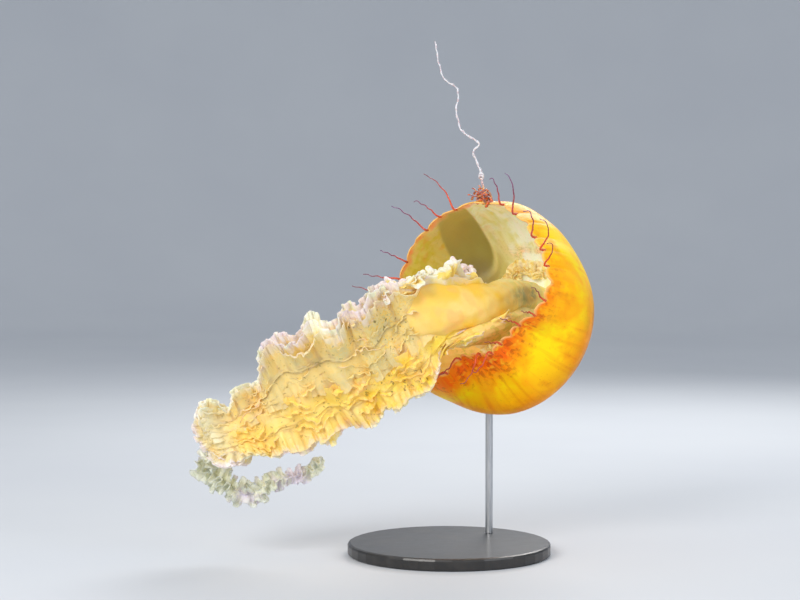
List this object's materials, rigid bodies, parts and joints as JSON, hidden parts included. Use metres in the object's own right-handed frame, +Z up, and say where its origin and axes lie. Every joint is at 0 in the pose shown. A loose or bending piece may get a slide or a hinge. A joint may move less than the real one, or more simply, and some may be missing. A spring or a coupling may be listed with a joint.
{
  "type": "sea nettle jellyfish model",
  "caption": "Life-size sea nettle jellyfish held still on a round stand: half-closed golden bell with scalloped rim, frilled oral arms trailing to one side, short tentacles.",
  "frame": {"origin": "middle of the flat underside of the stand's round base", "axes": "+Z up; the bell's mouth faces -Y and -X and a little up, and the oral arms trail towards -X and down"},
  "size_m": [0.4689, 0.2701, 0.6081],
  "materials": {
    "bell_flesh": "moist translucent orange-yellow flesh",
    "margin_flesh": "moist translucent flesh, deep orange with red-brown furrows",
    "stalk_flesh": "moist translucent pale yellow flesh",
    "arm_flesh": "moist translucent cream and yellow frills with white edges",
    "tentacle_flesh": "moist red to maroon thread",
    "thread_flesh": "moist pale thread",
    "base_lacquer": "satin black lacquer",
    "rod_steel": "brushed"
  },
  "bodies": {
    "root": {"bell_crown": "bell_flesh", "bell_margin_left": "margin_flesh", "bell_margin_lower": "margin_flesh", "bell_margin_right": "margin_flesh", "bell_margin_upper": "margin_flesh", "bell_wall_left": "bell_flesh", "bell_wall_lower": "bell_flesh", "bell_wall_right": "bell_flesh", "bell_wall_upper": "bell_flesh", "mouth_stalk": "stalk_flesh", "oral_arm_1_middle": "arm_flesh", "oral_arm_1_root": "arm_flesh", "oral_arm_1_tip": "arm_flesh", "oral_arm_2_middle": "arm_flesh", "oral_arm_2_root": "arm_flesh", "oral_arm_2_tip": "arm_flesh", "oral_arm_3_middle": "arm_flesh", "oral_arm_3_root": "arm_flesh", "oral_arm_3_tip": "arm_flesh", "oral_arm_4_middle": "arm_flesh", "oral_arm_4_root": "arm_flesh", "oral_arm_4_strand": "arm_flesh", "oral_arm_4_tip": "arm_flesh", "stand_base": "base_lacquer", "stand_rod": "rod_steel", "tentacle_01": "tentacle_flesh", "tentacle_02": "tentacle_flesh", "tentacle_03": "tentacle_flesh", "tentacle_04": "tentacle_flesh", "tentacle_05": "tentacle_flesh", "tentacle_06": "thread_flesh", "tentacle_06_end": "thread_flesh", "tentacle_07": "tentacle_flesh", "tentacle_08": "tentacle_flesh", "tentacle_09": "tentacle_flesh", "tentacle_10": "tentacle_flesh", "tentacle_11": "tentacle_flesh", "tentacle_12": "tentacle_flesh", "tentacle_13": "tentacle_flesh", "tentacle_14": "tentacle_flesh", "tentacle_15": "tentacle_flesh", "tentacle_16": "tentacle_flesh", "tentacle_17": "tentacle_flesh", "tentacle_18": "tentacle_flesh", "tentacle_19": "tentacle_flesh", "tentacle_20": "tentacle_flesh", "tentacle_21": "tentacle_flesh", "tentacle_22": "tentacle_flesh", "tentacle_23": "tentacle_flesh", "tentacle_24": "tentacle_flesh"}
  },
  "joints": []
}
